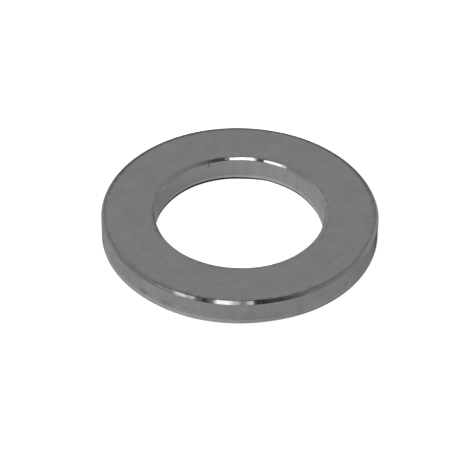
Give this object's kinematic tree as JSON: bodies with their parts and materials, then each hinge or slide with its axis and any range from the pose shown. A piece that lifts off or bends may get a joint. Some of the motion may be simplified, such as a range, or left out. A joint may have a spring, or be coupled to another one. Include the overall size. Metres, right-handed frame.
{
  "type": "flat washer",
  "caption": "Plain flat steel washer: a ring with a round through bore, straight rim, and small chamfers on the rim and bore edges of its top face.",
  "frame": {"origin": "centre of the bore on the bottom bearing face", "axes": "+Z along the bore axis, towards the chamfered top face; X and Y are free, because the ring is round"},
  "size_m": [0.028, 0.028, 0.0027],
  "materials": {
    "steel": "plain grey steel, smooth satin faces and walls, brighter polished chamfers"
  },
  "bodies": {
    "root": {"washer": "steel"}
  },
  "joints": []
}
